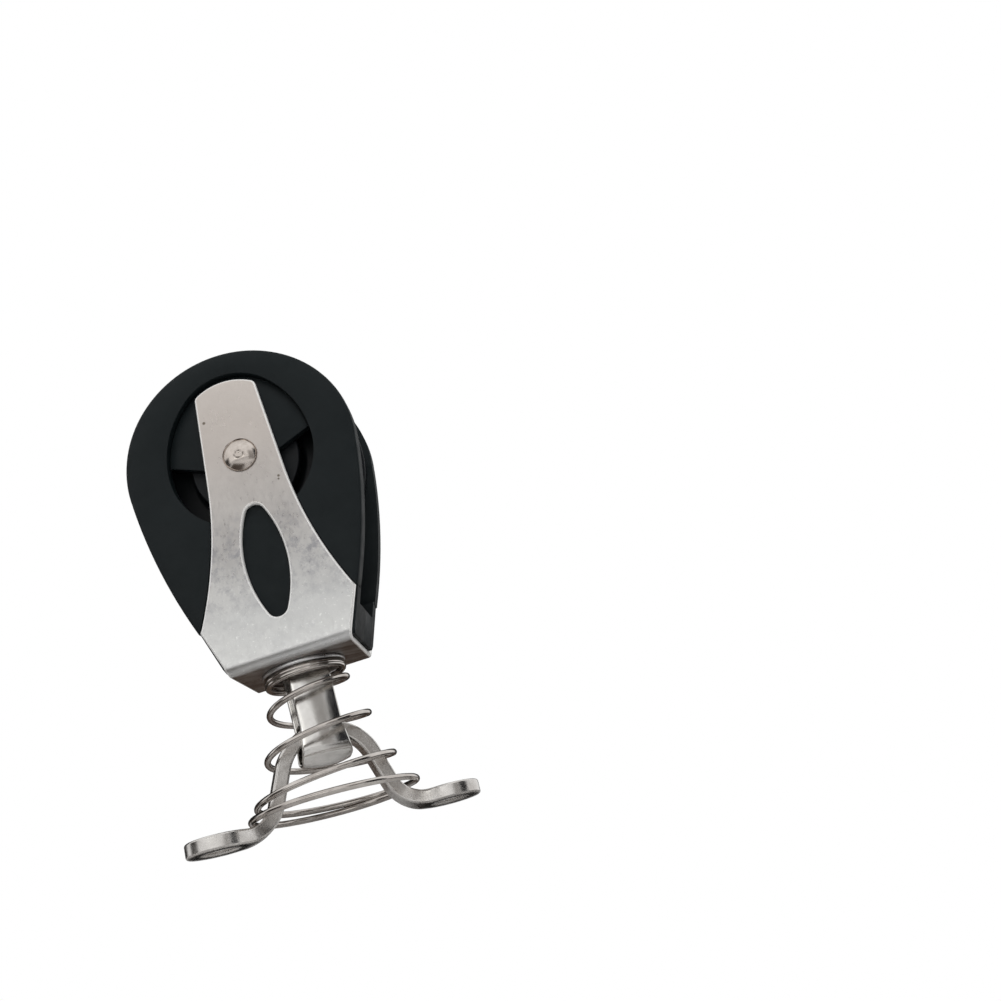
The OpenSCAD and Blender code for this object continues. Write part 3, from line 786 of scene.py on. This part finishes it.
class BLOCK_OT_sheave(bpy.types.Operator):
    """Turns the grooved sheave"""

    bl_idname = "block.sheave"
    bl_label = "Sheave"

    def execute(self, context):
        def corner(r, z, size, start, end, n=5):
            return ring_points(r, z, size, n, start, end)

        rim, tread, groove, out = 8.6, 24.5, 6.4, 28.5
        hub, disc, rim_in, hub_y = 14.2, 4.0, 22.3, 8.85
        wall = math.degrees(math.acos((tread + groove - out) / groove))
        upper = corner(5.48, hub_y - 0.4, 0.4, 180, 90)
        upper += corner(hub - 0.5, hub_y - 0.5, 0.5, 90, 0)
        upper += [(hub, disc + 1.5)] + corner(hub + 1.5, disc + 1.5, 1.5, 180, 270)[1:]
        upper += corner(rim_in - 1.5, disc + 1.5, 1.5, 270, 360)
        upper += corner(rim_in + 0.5, rim - 0.5, 0.5, 180, 90)
        upper += corner(out - 0.6, rim - 0.6, 0.6, 90, 0)
        lip = groove * math.sin(math.radians(wall))
        upper += [(out, lip + 0.35)] + corner(out - 0.35, lip + 0.25, 0.35, 0, -50, 4)
        bowl = ring_points(tread + groove, 0, groove, 22, 180 - wall + 4, 180)
        upper += [(r, z) for r, z in bowl]
        lower = [(r, -z) for r, z in reversed(upper[:-1])]
        wheel = lathe("sheave_turned", upper + lower, 160, place(ON_BLOCK, FACE))
        settle(wheel, "black_sheave", "wheel", "sheave", 40)
        return {"FINISHED"}


class BLOCK_OT_rivet(bpy.types.Operator):
    """Turns the axle rivet with its two domed heads"""

    bl_idname = "block.rivet"
    bl_label = "Axle rivet"

    def execute(self, context):
        seat_at, rise, wide = STRAP_MID + STRAP_T / 2, 1.7, 4.45
        dome = (wide * wide + rise * rise) / (2 * rise)
        head = [(0.0, seat_at + rise - 0.22), (0.35, seat_at + rise - 0.20), (0.62, seat_at + rise - 0.08),
                (0.80, seat_at + rise + 0.04), (0.98, seat_at + rise + 0.07), (1.16, seat_at + rise + 0.02),
                (1.32, seat_at + rise - 0.14)]
        for i in range(1, 15):
            r = 1.32 + (wide - 0.25 - 1.32) * i / 14
            head.append((r, seat_at + rise - dome + math.sqrt(dome * dome - r * r)))
        head += [(wide - 0.05, seat_at + 0.42), (wide, seat_at + 0.32), (wide - 0.06, seat_at + 0.24),
                 (wide - 0.5, seat_at + 0.20), (wide - 0.6, seat_at), (3.0, seat_at), (3.0, 0.0)]
        run = head + [(r, -z) for r, z in reversed(head[:-1])]
        rivet = lathe("rivet_turned", run, 96, place(ON_BLOCK, FACE))
        settle(rivet, "polished_steel", "head", "axle_rivet", 60)
        dress(rivet, "rivet_steel")
        return {"FINISHED"}


class BLOCK_OT_frame_finish(bpy.types.Operator):
    """Gives every CAD node its finish, and softened edges to the shown shells, post, washers and sleeve"""

    bl_idname = "block.frame_finish"
    bl_label = "Frame finish"

    def execute(self, context):
        slots = {p["node"]: p["material_slot"] for p in FRAME["record"]["subparts"]}
        edges = {"front_shell": 0.22, "rear_shell": 0.22, "swivel_post": 0.25,
                 "thrust_washer": 0.1, "seat_washer": 0.25, "axle_sleeve": 0.15}
        for name, obj in FRAME["nodes"].items():
            dress(obj, slots[name])
            if obj.hide_render or name not in edges:
                continue
            weld = obj.modifiers.new("weld", "WELD")
            weld.merge_threshold = 0.000002
            bevel(obj, edges[name], 2, 28)
            clear_selection()
            obj.select_set(True)
            context.view_layer.objects.active = obj
            bpy.ops.object.shade_smooth_by_angle(angle=math.radians(30))
        return {"FINISHED"}


def card(name, spot, aim, size, shade):
    """A plain card with soft sides that only shows in reflections."""
    clear_selection()
    bpy.ops.mesh.primitive_plane_add(size=1.0, location=[v * MM for v in spot])
    made = bpy.context.object
    made.name = name
    made.scale = (size[0] * MM, size[1] * MM, 1.0)
    made.rotation_euler = (Vector(aim) - Vector(spot)).to_track_quat("-Z", "Y").to_euler()
    made.visible_camera = made.visible_diffuse = made.visible_shadow = False
    made.visible_transmission = made.visible_volume_scatter = False
    mat = bpy.data.materials.new(name)
    mat.use_nodes = True
    tree = mat.node_tree
    spots = tree.nodes.new("ShaderNodeTexCoord")
    split = tree.nodes.new("ShaderNodeSeparateXYZ")
    tree.links.new(spots.outputs["Object"], split.inputs[0])
    sides = []
    for axis in (0, 1):
        away = tree.nodes.new("ShaderNodeMath")
        away.operation = "ABSOLUTE"
        tree.links.new(split.outputs[axis], away.inputs[0])
        soft = tree.nodes.new("ShaderNodeMapRange")
        soft.interpolation_type = "SMOOTHSTEP"
        for key, value in (("From Min", 0.30), ("From Max", 0.5), ("To Min", 0.0), ("To Max", 1.0)):
            soft.inputs[key].default_value = value
        tree.links.new(away.outputs[0], soft.inputs["Value"])
        sides.append(soft.outputs["Result"])
    most = tree.nodes.new("ShaderNodeMath")
    most.operation = "MAXIMUM"
    tree.links.new(sides[0], most.inputs[0])
    tree.links.new(sides[1], most.inputs[1])
    glow = tree.nodes.new("ShaderNodeEmission")
    glow.inputs["Color"].default_value = (*shade, 1)
    clear = tree.nodes.new("ShaderNodeBsdfTransparent")
    both = tree.nodes.new("ShaderNodeMixShader")
    tree.links.new(most.outputs[0], both.inputs["Fac"])
    tree.links.new(glow.outputs[0], both.inputs[1])
    tree.links.new(clear.outputs[0], both.inputs[2])
    tree.links.new(both.outputs[0], tree.nodes["Material Output"].inputs["Surface"])
    made.data.materials.append(mat)


class BLOCK_OT_stage(bpy.types.Operator):
    """Sets the pale floor, the soft lights, the reflected cards and the camera"""

    bl_idname = "block.stage"
    bl_label = "Stage"

    def execute(self, context):
        scene = context.scene
        scene.view_settings.view_transform = "Standard"
        clear_selection()
        bpy.ops.object.camera_add(
            location=(-0.061853, -0.267027, -0.030826),
            rotation=[math.radians(x) for x in (111.0635, 14.7127, -19.5854)],
        )
        camera = context.object
        camera.data.lens = 39.56
        camera.data.sensor_width = 36.0
        camera.data.clip_start = 0.01
        scene.camera = camera

        world = bpy.data.worlds.new("studio")
        scene.world = world
        world.use_nodes = True
        tree = world.node_tree
        back = tree.nodes["Background"]
        back.inputs["Color"].default_value = (1, 1, 1, 1)
        path = tree.nodes.new("ShaderNodeLightPath")
        seen = tree.nodes.new("ShaderNodeMath")
        seen.operation = "MAXIMUM"
        tree.links.new(path.outputs["Is Camera Ray"], seen.inputs[0])
        more = tree.nodes.new("ShaderNodeMath")
        more.operation = "MAXIMUM"
        tree.links.new(path.outputs["Is Glossy Ray"], more.inputs[0])
        tree.links.new(path.outputs["Is Transmission Ray"], more.inputs[1])
        tree.links.new(more.outputs[0], seen.inputs[1])
        level = tree.nodes.new("ShaderNodeMapRange")
        level.inputs["To Min"].default_value = 0.5
        level.inputs["To Max"].default_value = 1.0
        tree.links.new(seen.outputs[0], level.inputs["Value"])
        tree.links.new(level.outputs["Result"], back.inputs["Strength"])

        for spot, size, power in (((-0.05, -0.38, 0.62), 0.30, 1.6), ((0.55, 0.12, 0.36), 0.30, 0.5)):
            clear_selection()
            bpy.ops.object.light_add(type="AREA", location=spot)
            lamp = context.object
            lamp.data.size = size
            lamp.data.energy = power
            lamp.visible_glossy = False
            lamp.rotation_euler = (Vector((0, 0, 0.06)) - Vector(spot)).to_track_quat("-Z", "Y").to_euler()

        middle = (0, 0, 60)
        card("card_front", (105, -410, 90), middle, (190, 460), (0.36, 0.35, 0.34))
        card("card_right", (290, -310, 100), middle, (300, 620), (0.01, 0.01, 0.012))
        card("card_strap", (-235, -330, 206), (0, 0, 70), (360, 96), (0.06, 0.06, 0.075))
        card("card_bright", (-235, -330, 124), (0, 0, 60), (320, 84), (1.9, 1.9, 1.85))
        card("card_behind", (0, 420, 150), middle, (1100, 640), (0.025, 0.023, 0.021))
        card("card_left", (-430, 60, 40), middle, (300, 460), (0.04, 0.037, 0.034))
        card("card_below", (0, 205, 0.05), (0, 205, -10), (700, 420), (0.10, 0.075, 0.06))
        card("card_below_right", (195, -50, 0.06), (195, -50, -10), (400, 340), (0.04, 0.034, 0.03))
        card("card_below_left", (-190, -30, 0.07), (-190, -30, -10), (360, 320), (0.10, 0.085, 0.075))

        clear_selection()
        bpy.ops.mesh.primitive_plane_add(size=4.0, location=(0, 0, -0.0002))
        floor = context.object
        floor.name = "floor"
        mat = bpy.data.materials.new("pale_floor")
        mat.use_nodes = True
        tree = mat.node_tree
        shade = tree.nodes["Principled BSDF"]
        shade.inputs["Base Color"].default_value = (0.88, 0.88, 0.88, 1)
        shade.inputs["Roughness"].default_value = 0.9
        out = tree.nodes["Material Output"]
        clear = tree.nodes.new("ShaderNodeBsdfTransparent")
        side = tree.nodes.new("ShaderNodeNewGeometry")
        both = tree.nodes.new("ShaderNodeMixShader")
        tree.links.new(side.outputs["Backfacing"], both.inputs["Fac"])
        tree.links.new(shade.outputs[0], both.inputs[1])
        tree.links.new(clear.outputs[0], both.inputs[2])
        tree.links.new(both.outputs[0], out.inputs["Surface"])
        floor.data.materials.append(mat)
        return {"FINISHED"}


class BLOCK_PT_panel(bpy.types.Panel):
    """Lists the pieces of the block"""

    bl_idname = "BLOCK_PT_panel"
    bl_label = "Swivel Block"
    bl_space_type = "VIEW_3D"
    bl_region_type = "UI"
    bl_category = "Block"

    def draw(self, context):
        layout = self.layout
        steel = context.scene.block_steel
        layout.prop(context.scene.block_spring, "wire")
        layout.prop(steel, "saddle_edge")
        layout.prop(steel, "link_edge")
        layout.prop(steel, "strap_edge")
        for step in STEPS:
            layout.operator("block." + step)


STEPS = ("stage", "spring", "saddle", "link", "strap", "sheave", "rivet", "frame_finish")

CLASSES = (
    SpringSettings,
    SteelSettings,
    BLOCK_OT_spring,
    BLOCK_OT_saddle,
    BLOCK_OT_link,
    BLOCK_OT_strap,
    BLOCK_OT_sheave,
    BLOCK_OT_rivet,
    BLOCK_OT_frame_finish,
    BLOCK_OT_stage,
    BLOCK_PT_panel,
)


def register():
    for c in CLASSES:
        bpy.utils.register_class(c)
    bpy.types.Scene.block_spring = bpy.props.PointerProperty(type=SpringSettings)
    bpy.types.Scene.block_steel = bpy.props.PointerProperty(type=SteelSettings)


def unregister():
    del bpy.types.Scene.block_steel
    del bpy.types.Scene.block_spring
    for c in reversed(CLASSES):
        bpy.utils.unregister_class(c)


def main():
    register()
    for step in STEPS:
        getattr(bpy.ops.block, step)()
    clear_selection()


if __name__ == "__main__":
    main()
